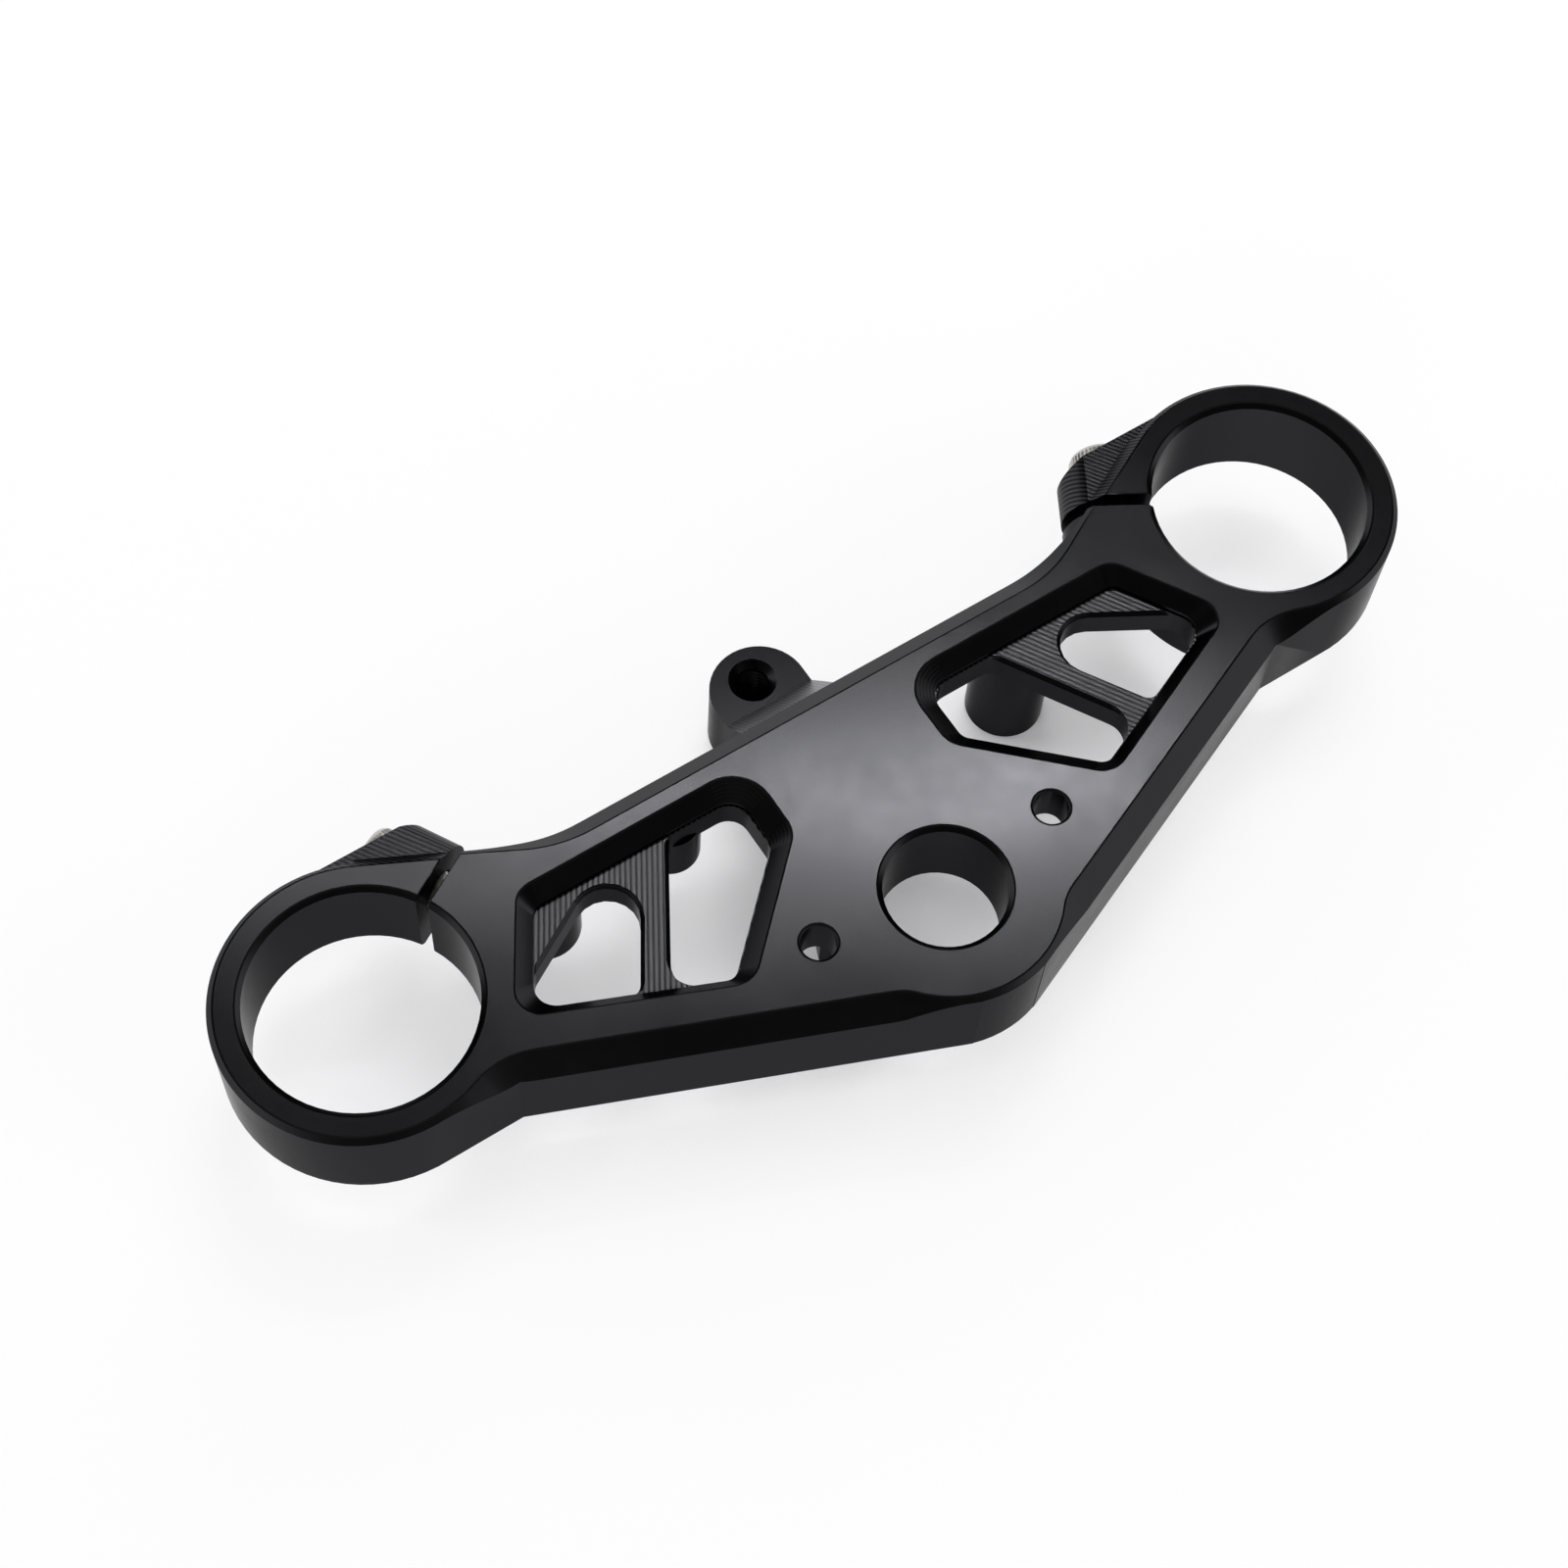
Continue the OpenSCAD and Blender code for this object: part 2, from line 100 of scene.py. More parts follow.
# %% [markdown]
# Colours and nodes
#
# A hex colour is encoded for the screen, and the shader wants plain linear light, so one function turns one
# into the other. A second one adds a node, sets its values and joins its inputs in a single call, which
# keeps each finish below as short as its description. A third starts a finish. Its last argument is how
# bright a metal gets where the eye grazes it: 1 is a clean mirror, and a cut surface with a porous oxide on
# it stays darker.


# %% Colour and node helpers
def linear(hex_colour):
    channels = [int(hex_colour[i : i + 2], 16) / 255 for i in (1, 3, 5)]
    curve = [c / 12.92 if c <= 0.04045 else ((c + 0.055) / 1.055) ** 2.4 for c in channels]
    return (*curve, 1.0)


def add(tree, kind, values=(), links=(), **settings):
    node = tree.nodes.new(kind)
    for name, value in settings.items():
        setattr(node, name, value)
    for socket, value in dict(values).items():
        node.inputs[socket].default_value = value
    for socket, output in dict(links).items():
        tree.links.new(output, node.inputs[socket])
    return node


def new_finish(name, colour, metallic, roughness, grazing=1.0):
    finish = bpy.data.materials.new(name)
    finish.use_nodes = True
    shader = finish.node_tree.nodes["Principled BSDF"]
    shader.inputs["Base Color"].default_value = linear(colour)
    shader.inputs["Metallic"].default_value = metallic
    shader.inputs["Roughness"].default_value = roughness
    shader.inputs["Specular Tint"].default_value = (grazing, grazing, grazing, 1)
    finish.diffuse_color = linear(colour)
    return finish, finish.node_tree, shader


# %% [markdown]
# Where a pattern lies
#
# Cutter lines follow the part and not the picture, so every pattern reads the object's own coordinates. The
# two halves of the clamp are mirror images. Taking the size of X without its sign gives both halves the
# same toolpath, mirrored, as a machinist would program it.


# %% Coordinates of the finishes
def own_place(tree, mirrored=False):
    place = add(tree, "ShaderNodeTexCoord").outputs["Object"]
    if mirrored:
        parts = add(tree, "ShaderNodeSeparateXYZ", links={0: place})
        side = add(tree, "ShaderNodeMath", links={0: parts.outputs["X"]}, operation="ABSOLUTE")
        place = add(
            tree, "ShaderNodeCombineXYZ",
            links={"X": side.outputs[0], "Y": parts.outputs["Y"], "Z": parts.outputs["Z"]},
        ).outputs[0]
    return place


# %% [markdown]
# Fine grain and handling marks
#
# Anodising keeps the last cutter's microscopic texture and turns it into an even satin. Seen close up the
# plate has a grain of a few tenths of a millimetre, and wide faint smudges where hands and rags have been.
# Both are soft noise: the grain tilts the surface a very little, and the smudges change only how sharply it
# mirrors.


# %% Grain and smudges
NOISE_ROUGHNESS = 0.55
# size in millimetres and detail of the wide smudges and of the small ones
SMUDGES = ((34, 3), (3.5, 5))
SMALL_SHARE = 0.35


def give_grain(tree, shader, place, grain_mm, depth_mm):
    grain = add(
        tree, "ShaderNodeTexNoise",
        {"Scale": 1 / (grain_mm * MM), "Detail": 2, "Roughness": NOISE_ROUGHNESS}, {"Vector": place},
    )
    tilt = add(
        tree, "ShaderNodeBump",
        {"Distance": depth_mm * MM, "Strength": 1.0}, {"Height": grain.outputs["Fac"]},
    )
    tree.links.new(tilt.outputs["Normal"], shader.inputs["Normal"])


def give_smudges(tree, shader, place, low, high):
    wide, small = (
        add(
            tree, "ShaderNodeTexNoise",
            {"Scale": 1 / (size_mm * MM), "Detail": detail, "Roughness": NOISE_ROUGHNESS},
            {"Vector": place},
        ).outputs["Fac"]
        for size_mm, detail in SMUDGES
    )
    faint = add(tree, "ShaderNodeMath", {1: SMALL_SHARE}, {0: small}, operation="MULTIPLY").outputs[0]
    both = add(tree, "ShaderNodeMath", links={0: wide, 1: faint}, operation="ADD").outputs[0]
    spread = add(
        tree, "ShaderNodeMapRange",
        {"From Min": 0.45, "From Max": 0.9, "To Min": low, "To Max": high}, {"Value": both},
    )
    tree.links.new(spread.outputs["Result"], shader.inputs["Roughness"])


# %% [markdown]
# Black anodised aluminium, face milled
#
# The dye sits in a clear oxide a few hundredths of a millimetre thick over bright metal. It mirrors weakly
# and evenly like a dark metal and shows no body colour, so the shader is a metal with a very dark grey and
# the default IOR. A face mill leaves the top almost flat, with a roughness near 0.17. The same finish in a
# deeper black serves the top of the rear lug, a painted shade that makes it mirror less and look darker than
# the plate.

# %% Top face finish
ANODISED = "#333335"
FACE_GRAZING = 0.65


def anodised_face(name, colour):
    finish, tree, shader = new_finish(name, colour, 1.0, 0.17, FACE_GRAZING)
    place = own_place(tree)
    give_smudges(tree, shader, place, 0.145, 0.2)
    give_grain(tree, shader, place, 0.5, 0.00012)
    return finish


# %% [markdown]
# Milled walls
#
# A wall is cut by the side of the mill in a few passes down. The passes leave level lines round the part,
# much finer than the step between them, and the wall mirrors the pale floor with a soft gradient. Here the
# lines are a wave in Z, three to a millimetre, and shallow enough that only their sheen shows. They could be
# cut into the mesh as well, but that would take thousands of faces for something the eye sees as gloss.


# %% Wall finish
WALL_GRAZING = 0.48
WALL_PASS_MM = 0.33


def give_cutter_lines(tree, shader, place, across, pitch_mm, depth_mm, gloss=None):
    way = add(tree, "ShaderNodeVectorMath", {1: across}, {0: place}, operation="DOT_PRODUCT")
    travel = add(tree, "ShaderNodeCombineXYZ", links={"X": way.outputs["Value"]})
    # a band of the wave texture repeats after 2 pi / 20 of its coordinate
    ridges = add(
        tree, "ShaderNodeTexWave",
        {"Scale": 2 * math.pi / 20 / (pitch_mm * MM), "Distortion": 0.0, "Detail": 0.0},
        {"Vector": travel.outputs[0]}, bands_direction="X", wave_profile="SIN",
    ).outputs["Fac"]
    if gloss:
        dull = add(tree, "ShaderNodeMapRange", {"To Min": gloss[0], "To Max": gloss[1]}, {"Value": ridges})
        tree.links.new(dull.outputs["Result"], shader.inputs["Roughness"])
    tilt = add(tree, "ShaderNodeBump", {"Distance": depth_mm * MM, "Strength": 1.0}, {"Height": ridges})
    tree.links.new(tilt.outputs["Normal"], shader.inputs["Normal"])
    return ridges


def anodised_wall():
    finish, tree, shader = new_finish("anodised_wall", ANODISED, 1.0, 0.24, WALL_GRAZING)
    place = own_place(tree)
    give_smudges(tree, shader, place, 0.2, 0.28)
    give_cutter_lines(tree, shader, place, (0, 0, 1), WALL_PASS_MM, 0.0012)
    return finish


# %% [markdown]
# Web tops with cutter lines
#
# The narrow webs between the pocket holes were finished by a small ball mill that ran along them, and its
# ridges catch the light as bright and dark stripes. On the real part they lie about 0.7 mm apart. They are
# drawn 1 mm apart, because a finer stripe would blur away in the picture. The crests are painted a paler
# grey than the valleys, a painted highlight for the light they catch, and the shallow ridges tilt the light
# as well.

# %% Web finish
WEB_LINES_FACE = math.radians(31.1)
WEB_PITCH_MM = 1.0


# paints the crests paler than the valleys: a painted highlight on the cutter ridges
def paint_crest_highlights(tree, shader, ridges, valley, crest):
    crest_highlight_mix = add(tree, "ShaderNodeMix", {6: linear(valley), 7: linear(crest)}, {0: ridges}, data_type="RGBA")
    tree.links.new(crest_highlight_mix.outputs[2], shader.inputs["Base Color"])


def anodised_web():
    finish, tree, shader = new_finish("anodised_web", "#3c3c3e", 1.0, 0.3)
    place = own_place(tree, mirrored=True)
    across = (math.cos(WEB_LINES_FACE), math.sin(WEB_LINES_FACE), 0)
    ridges = give_cutter_lines(tree, shader, place, across, WEB_PITCH_MM, 0.02, gloss=(0.26, 0.4))
    # paler crests: painted highlight on the ball-mill ridges
    paint_crest_highlights(tree, shader, ridges, "#1f1f21", "#636366")
    return finish


# %% [markdown]
# Pocket slopes with water lines
#
# The sloped wall round each pocket was cut in level steps of half a millimetre. They show as nested arcs in
# the rounded corners only, so a wave in Z tilts those narrow faces once per step, and the long sides get
# the smoother wall finish and stay almost black.

# %% Slope finish
SLOPE_STEP_MM = 0.5


def anodised_slope():
    finish, tree, shader = new_finish("anodised_slope", ANODISED, 1.0, 0.27, WALL_GRAZING)
    place = own_place(tree)
    give_cutter_lines(tree, shader, place, (0, 0, 1), SLOPE_STEP_MM, 0.006, gloss=(0.22, 0.32))
    return finish


# %% [markdown]
# Lug faces
#
# The outer lugs were cut to shape by a ball mill that crossed them from side to side. Their sloping flats
# and backs keep parallel ridges about 0.5 mm apart, drawn at 0.9 mm for the picture. Their crests are
# painted paler than the valleys, a painted highlight on the ridges. Both lugs were cut in one direction, so
# this pattern isn't mirrored.

# %% Lug finish
LUG_PITCH_MM = 0.9
ACROSS_LUG_ROWS = (0.835, 0.55, 0)


def anodised_lug():
    finish, tree, shader = new_finish("anodised_lug", ANODISED, 1.0, 0.28, FACE_GRAZING)
    place = own_place(tree)
    rows = give_cutter_lines(tree, shader, place, ACROSS_LUG_ROWS, LUG_PITCH_MM, 0.005, gloss=(0.22, 0.34))
    # paler crests: painted highlight on the lug ridges
    paint_crest_highlights(tree, shader, rows, "#1c1c1e", "#48484a")
    return finish


# %% [markdown]
# The ramp of the rear lug
#
# Between the rear lug and the plate a ramp was left rough from the ball mill. It is the one place where the
# black looks like slate: its furrows run down the ramp and throw light back every way, and that light is
# painted into its colour as a pale grey with paler crests, a painted sheen on black metal. The furrows are
# drawn 0.9 mm apart so that they show.

# %% Ramp finish
RAMP_PITCH_MM = 0.9


def ramp_painted_sheen():
    # painted sheen: a pale grey base colour stands for the light the rough furrows throw back
    finish, tree, shader = new_finish("ramp_painted_sheen", "#6a6a6d", 1.0, 0.42)
    place = own_place(tree)
    furrows = give_cutter_lines(tree, shader, place, (1, 0, 0), RAMP_PITCH_MM, 0.01, gloss=(0.36, 0.46))
    paint_crest_highlights(tree, shader, furrows, "#76767a", "#98989c")
    return finish


# %% [markdown]
# Stainless screws
#
# The pinch screws are plain stainless steel, turned and knurled and a little dull from handling. Steel is a
# real metal in the shader too: a pale warm grey, fully metallic, with a fine grain that breaks up what it
# mirrors and the same kind of smudges as the plate.


# %% Screw finish
def stainless_steel():
    finish, tree, shader = new_finish("stainless_steel", "#c4c3be", 1.0, 0.3)
    place = own_place(tree)
    give_smudges(tree, shader, place, 0.24, 0.4)
    give_grain(tree, shader, place, 0.25, 0.006)
    return finish


# %% [markdown]
# The clamp body
#
# The body is one milled plate with all its walls, pockets and bosses. It could be modelled again here, but
# its form is already exact in the frame, so its mesh is copied into a new piece and the frame's own node
# stays untouched. The copy is cleaned first. Doubled points are joined and the triangles of each flat face
# become one face again, and then every face can be given the finish that its place on the part calls for.

# %% Copy and clean the body
source = frame["nodes"]["clamp_body"]
body_mesh = bmesh.new()
body_mesh.from_mesh(source.data)
bmesh.ops.remove_doubles(body_mesh, verts=body_mesh.verts, dist=0.002 * MM)
bmesh.ops.dissolve_limit(
    body_mesh, angle_limit=math.radians(0.4), use_dissolve_boundaries=False,
    verts=body_mesh.verts, edges=body_mesh.edges, delimit={"NORMAL"},
)
bmesh.ops.recalc_face_normals(body_mesh, faces=body_mesh.faces)
open_edges = [edge for edge in body_mesh.edges if len(edge.link_faces) != 2]
print(f"body: {len(body_mesh.faces)} faces, {len(open_edges)} open edges")

# %% [markdown]
# The thread in the rear lug
#
# The hole in the rear lug is tapped for an M8 screw, and its turns show from above. A thread could be cut
# with a Boolean, which is slow and can leave slivers. Instead the plain wall of the hole is taken out of the
# copy, and a wall that waves outwards once per turn takes its place. Its first and last rows use the very
# points of the hole's rims, so the surface stays closed.

# %% Tap the hole
M8_PITCH = 1.25
TAPPED_DEPTH = 0.61


def thread_wave(angle, z, pitch):
    phase = (z / pitch - angle / (2 * math.pi)) % 1
    return min(1.0, max(0.0, 1.25 - 2.5 * abs(phase - 0.5) * 1.15))


def from_tail(vert):
    return Vector((vert.co.x / MM - tail.x, vert.co.y / MM - tail.y))


TAIL_HOLE_R = mounts["lug_thread"]["dims"]["r_mm"]
hole_wall = [
    face for face in body_mesh.faces
    if all(abs(from_tail(vert).length - TAIL_HOLE_R) < 0.02 for vert in face.verts)
]
rim_points = sorted({vert for face in hole_wall for vert in face.verts}, key=lambda v: -v.co.z)
rim_high = max(vert.co.z for vert in rim_points)
rim_low = min(vert.co.z for vert in rim_points)


def rim(level):
    ring = [vert for vert in rim_points if abs(vert.co.z - level) < 0.01 * MM]
    return sorted(ring, key=lambda vert: math.atan2(from_tail(vert).y, from_tail(vert).x))


top_rim, bottom_rim = rim(rim_high), rim(rim_low)
print(f"hole wall: {len(hole_wall)} faces, rims of {len(top_rim)} and {len(bottom_rim)} points")
if len(top_rim) == len(bottom_rim) and len(top_rim) + len(bottom_rim) == len(rim_points):
    bmesh.ops.delete(body_mesh, geom=hole_wall, context="FACES_ONLY")
    rows = round((rim_high - rim_low) / MM / M8_PITCH * 8)
    previous = top_rim
    for row in range(1, rows + 1):
        share = row / rows
        ring = bottom_rim
        if row < rows:
            ring = []
            fade = min(1, row / 8, (rows - row) / 8)
            for high, low in zip(top_rim, bottom_rim):
                spot = high.co.lerp(low.co, share)
                flat = from_tail(high)
                angle = math.atan2(flat.y, flat.x)
                out = TAPPED_DEPTH * fade * thread_wave(angle, spot.z / MM, M8_PITCH)
                spot += Vector((*flat.normalized(), 0)) * out * MM
                ring.append(body_mesh.verts.new(spot))
        for i in range(len(ring)):
            j = (i + 1) % len(ring)
            body_mesh.faces.new((previous[i], previous[j], ring[j], ring[i]))
        previous = ring
    bmesh.ops.recalc_face_normals(body_mesh, faces=body_mesh.faces)

# %% [markdown]
# Finishes by place
#
# A machinist would point at each face and name the cutter that made it. The same is done here with the
# middle of a face and the way it looks: level faces near Z = 0 are the top, level faces 4 mm down are webs,
# and narrow sloped faces inside a pocket are its rounded corners. Level faces stay flat shaded, so that
# nothing bends their mirror images. The fork frame has its origin between the bores, 37.5 mm behind the
# stem.

# %% Sort the faces
RING_WALL_R = 27.6
POCKET_REAR = 4.2
POCKET_FRONT = 48.4
POCKET_FRONT_FACES = math.radians(293)
POCKET_SIDES = (16.8, 64)
WEB_LEVELS = (-4.9, -3.2)
TAIL_REACH = (12, 14)
TAIL_TOP_Z = -20
BROAD_MM2 = 12
FACE, WALL, WEB, SLOPE, LUG, TAIL_TOP, RAMP = range(7)


def in_pocket(x, y):
    forward = abs(x) * math.cos(POCKET_FRONT_FACES) + y * math.sin(POCKET_FRONT_FACES)
    return POCKET_SIDES[0] < abs(x) < POCKET_SIDES[1] and y < POCKET_REAR and forward < POCKET_FRONT


def on_outer_lug(x, y):
    across = (abs(x) - fork.x) * math.sin(SLIT_ANGLE) + y * math.cos(SLIT_ANGLE)
    return across > 1.2 and math.hypot(abs(x) - fork.x, y) > RING_WALL_R - 1.3 and abs(x) < fork.x


# limits for the upward share of a face's normal
LEVEL = 0.9995
NEARLY_LEVEL = 0.995
UPRIGHT = 0.1


def finish_of(face):
    middle = face.calc_center_median() / MM
    x, y, z = middle.x, middle.y - fork.y, middle.z
    level, upright = face.normal.z > NEARLY_LEVEL, abs(face.normal.z) < UPRIGHT
    outwards = face.normal.x * math.copysign(1, x)
    across_slit = outwards * math.sin(SLIT_ANGLE) + face.normal.y * math.cos(SLIT_ANGLE)
    broad = face.calc_area() / MM**2 > BROAD_MM2
    if on_outer_lug(x, y) and z < -0.6 and UPRIGHT < face.normal.z and abs(across_slit) < 0.97:
        return LUG
    if abs(x) < TAIL_REACH[0] and y > TAIL_REACH[1] and level:
        return TAIL_TOP
    if abs(x) < TAIL_REACH[0] and y > TAIL_REACH[0] and z > TAIL_TOP_Z and 0.3 < face.normal.z < 0.95:
        return RAMP
    if in_pocket(x, y) and -5 < z < -0.1:
        if level and WEB_LEVELS[0] < z < WEB_LEVELS[1]:
            return WEB
        return WALL if upright or broad else SLOPE
    if upright:
        return WALL
    return FACE


for face in body_mesh.faces:
    face.material_index = finish_of(face)
    face.smooth = face.normal.z < LEVEL
counts = [sum(face.material_index == k for face in body_mesh.faces) for k in range(7)]
print("faces by finish:", counts)


# %% [markdown]
# Broken edges
#
# No milled part leaves the bench with a knife edge. A bevel of 0.2 mm round the top face draws the thin
# dark line between it and the rear bevel, because it mirrors the dark of the room. The shader's Bevel node
# could fake it in shading alone, so it is a modifier that makes real faces, and it acts only on the
# edges that are given a weight here. The shader's Bevel node could fake it, but only real faces stay in
# the exported mesh. A second modifier lets each large face rule the normals at its corners, so the flat
# faces look flat and only the small ones between them blend.

# %% Make the body piece
BROKEN_EDGE = 0.2
SHARP = math.radians(30)
STALE_NORMALS = "custom_normal"


def new_piece(name, mesh, finishes, node):
    data = bpy.data.meshes.new(name)
    mesh.to_mesh(data)
    mesh.free()
    # normals that came with the copied triangles no longer fit the joined faces
    if STALE_NORMALS in data.attributes:
        data.attributes.remove(data.attributes[STALE_NORMALS])
    for finish in finishes:
        data.materials.append(finish)
    data.set_sharp_from_angle(angle=SHARP)
    piece = bpy.data.objects.new(name, data)
    bpy.context.scene.collection.objects.link(piece)
    broken = piece.modifiers.new("broken_edges", "BEVEL")
    broken.limit_method = "WEIGHT"
    broken.width = BROKEN_EDGE * MM
    broken.segments = 1
    broken.use_clamp_overlap = False
    flats = piece.modifiers.new("flat_faces_lead", "WEIGHTED_NORMAL")
    flats.keep_sharp = True
    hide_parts(node)
    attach(piece, "root")
    print(f"{name}: {len(data.vertices)} points, {len(data.polygons)} faces")
    return piece


broken_layer = body_mesh.edges.layers.float.new("bevel_weight_edge")
broken_count = 0
for edge in body_mesh.edges:
    tops = [
        face for face in edge.link_faces
        if face.normal.z > LEVEL and face.calc_center_median().z > -0.1 * MM
    ]
    if len(tops) == 1 and edge.calc_face_angle(0) > math.radians(20):
        edge[broken_layer] = 1.0
        broken_count += 1
print("edges broken round the top face:", broken_count)
body_finishes = [
    anodised_face("anodised_face", ANODISED),
    anodised_wall(),
    anodised_web(),
    anodised_slope(),
    anodised_lug(),
    # a deeper black: painted shade on the top of the rear lug
    anodised_face("lug_top_painted_shade", "#232325"),
    ramp_painted_sheen(),
]
clamp = new_piece("milled_clamp", body_mesh, body_finishes, "clamp_body")

# %% [markdown]
# Pinch screws
#
# A socket screw is round all over except for its hexagon and its knurl. Stacked rings of points make it in
# one go: each ring has a height and a rule for its radius at every angle. The thread climbs with the angle,
# the knurl is a small ripple on the head, and the socket's rings follow six flats.

# %% Screw rings
HEAD_R = 6.5
HEAD_HEIGHT = 8
HEX_WIDTH = 6
HEX_DEPTH = 4
SHANK_LENGTH = 25
SHANK_R = 4
THREAD_DEPTH = 0.62
KNURL_TEETH = 48
SEGMENTS = 192


def round_ring(radius):
    return lambda angle: radius


def knurl_ring(angle):
    return HEAD_R - 0.11 + 0.11 * math.cos(KNURL_TEETH * angle)


def hex_ring(angle):
    sixth = math.pi / 3
    return HEX_WIDTH / 2 / math.cos((angle % sixth) - sixth / 2)


def thread_ring(z):
    return lambda angle: SHANK_R - THREAD_DEPTH * (1 - thread_wave(angle, z, M8_PITCH))


def screw_rings():
    rings = [(-SHANK_LENGTH, round_ring(0.02)), (-SHANK_LENGTH, round_ring(SHANK_R - 0.9))]
    start, end = 0.9 - SHANK_LENGTH, -1.2
    steps = round((end - start) / M8_PITCH * 8)
    rings += [(start + (end - start) * k / steps, thread_ring(start + (end - start) * k / steps))
              for k in range(steps + 1)]
    rings += [(-0.8, round_ring(SHANK_R - 0.25)), (-0.25, round_ring(SHANK_R - 0.2))]
    rings += [(0, round_ring(SHANK_R))]
    rings += [(0, round_ring(HEAD_R - 0.5)), (0.35, round_ring(HEAD_R - 0.2)), (0.6, knurl_ring)]
    rings += [(HEAD_HEIGHT - 1.3, knurl_ring), (HEAD_HEIGHT - 1, round_ring(HEAD_R - 0.22))]
    rings += [(HEAD_HEIGHT - 0.5, round_ring(HEAD_R - 0.4)), (HEAD_HEIGHT - 0.1, round_ring(HEAD_R - 0.8))]
    rings += [(HEAD_HEIGHT, round_ring(HEAD_R - 1.2)), (HEAD_HEIGHT, round_ring(3.75))]
    rings += [(HEAD_HEIGHT - 0.3, hex_ring), (HEAD_HEIGHT - HEX_DEPTH, hex_ring)]
    rings += [(HEAD_HEIGHT - HEX_DEPTH, round_ring(2.6)), (HEAD_HEIGHT - HEX_DEPTH - 0.8, round_ring(0.02))]
    return rings


# %% [markdown]
# Seating the screws
#
# Each screw lies across its slit, 29 mm from the middle of the fork bore and 10.5 mm under the top face.
# One matrix turns the screw's own Z into the direction across the slit. The left one is the right one
# mirrored, but its thread must stay right-handed, so the place is mirrored and not the screw.

# %% Place the screws
PINCH_OFFSET = 29
PINCH_DEPTH = 10.5
SEAT_OFFSET = 8.6


def screw_matrix(side):
    across = Vector((side * math.sin(SLIT_ANGLE), math.cos(SLIT_ANGLE), 0))
    inwards = Vector((-side * math.cos(SLIT_ANGLE), math.sin(SLIT_ANGLE), 0))
    middle = Vector((side * fork.x, fork.y, 0)) + inwards * PINCH_OFFSET
    seat = middle + across * SEAT_OFFSET + Vector((0, 0, -PINCH_DEPTH))
    up = across.cross(inwards)
    turned = Matrix((inwards, up, across)).transposed().to_4x4()
    return Matrix.Translation(seat) @ turned


def screw_mesh(side):
    mesh = bmesh.new()
    placed = screw_matrix(side)
    previous = None
    for z, radius in screw_rings():
        ring = []
        for k in range(SEGMENTS):
            angle = 2 * math.pi * k / SEGMENTS
            spot = Vector((radius(angle) * math.cos(angle), radius(angle) * math.sin(angle), z))
            ring.append(mesh.verts.new(placed @ spot * MM))
        if previous:
            for i in range(SEGMENTS):
                j = (i + 1) % SEGMENTS
                mesh.faces.new((previous[i], previous[j], ring[j], ring[i]))
        else:
            mesh.faces.new(ring)
        previous = ring
    mesh.faces.new(previous)
    bmesh.ops.recalc_face_normals(mesh, faces=mesh.faces)
    for face in mesh.faces:
        face.smooth = True
    return mesh


steel = stainless_steel()
for side, name in ((-1, "left"), (1, "right")):
    new_piece(f"socket_screw_{name}", screw_mesh(side), [steel], f"pinch_bolt_{name}")

# %% [markdown]
# The floor
#
# The clamp was photographed on a sheet of white paper. A wide plane just under the lowest boss catches the
# soft shadows. Its colour is near white with a trace of lilac, and the lamps are set so that it comes out
# nearly white. The photograph is exposed so that open paper is plain white and only covered paper shows its
# shade. More light would do that too, but it would wash out the object. Instead a share of plain white is
# shown to the eye and to mirrors as a glow, and it fades with the ambient occlusion, which tells how much
# the
# clamp covers a spot of the paper: a painted shade under the clamp, on top of the shadows the lamps cast.

# %% Lay the floor
PAPER_WHITE = 0.82
COVER_REACH_MM = 70
# open share of the sky at which the white starts and at which it is full
COVERED, OPEN = 0.14, 0.56


def white_paper():
    finish, tree, shader = new_finish("white_paper", "#f5f4f9", 0.0, 0.6)
    give_grain(tree, shader, own_place(tree), 1.5, 0.01)
    plain = add(tree, "ShaderNodeEmission", {"Color": (1, 1, 1, 1), "Strength": 1.0})
    rays = add(tree, "ShaderNodeLightPath").outputs
    shown = rays["Is Camera Ray"]
    for ray in ("Is Glossy Ray", "Is Transmission Ray"):
        shown = add(tree, "ShaderNodeMath", links={0: shown, 1: rays[ray]}, operation="MAXIMUM").outputs[0]
    open_sky = add(
        tree, "ShaderNodeAmbientOcclusion", {"Distance": COVER_REACH_MM * MM}, samples=4
    ).outputs["AO"]
    glow_faded_by_painted_shade = add(
        # the glow fades with ambient occlusion: painted shade where the clamp covers the paper
        tree, "ShaderNodeMapRange",
        {"From Min": COVERED, "From Max": OPEN, "To Min": 0.0, "To Max": PAPER_WHITE}, {"Value": open_sky},
        interpolation_type="SMOOTHSTEP",
    ).outputs["Result"]
    share = add(tree, "ShaderNodeMath", links={0: shown, 1: glow_faded_by_painted_shade}, operation="MULTIPLY").outputs[0]
    mixed = add(tree, "ShaderNodeMixShader", links={0: share, 1: shader.outputs[0], 2: plain.outputs[0]})
    tree.links.new(mixed.outputs[0], tree.nodes["Material Output"].inputs["Surface"])
    return finish


FLOOR_HALF = 4.0
FLOOR_GAP_MM = 0.1
floor_level = cad_box[0][2] - FLOOR_GAP_MM * MM
floor_mesh = bmesh.new()
corners = [(-1, -1), (1, -1), (1, 1), (-1, 1)]
floor_mesh.faces.new(
    [floor_mesh.verts.new((FLOOR_HALF * x, FLOOR_HALF * y, floor_level)) for x, y in corners]
)
floor_data = bpy.data.meshes.new("floor")
floor_mesh.to_mesh(floor_data)
floor_mesh.free()
floor_data.materials.append(white_paper())
floor = bpy.data.objects.new("floor", floor_data)
bpy.context.scene.collection.objects.link(floor)
print(f"floor at z = {floor_level / MM:.1f} mm")

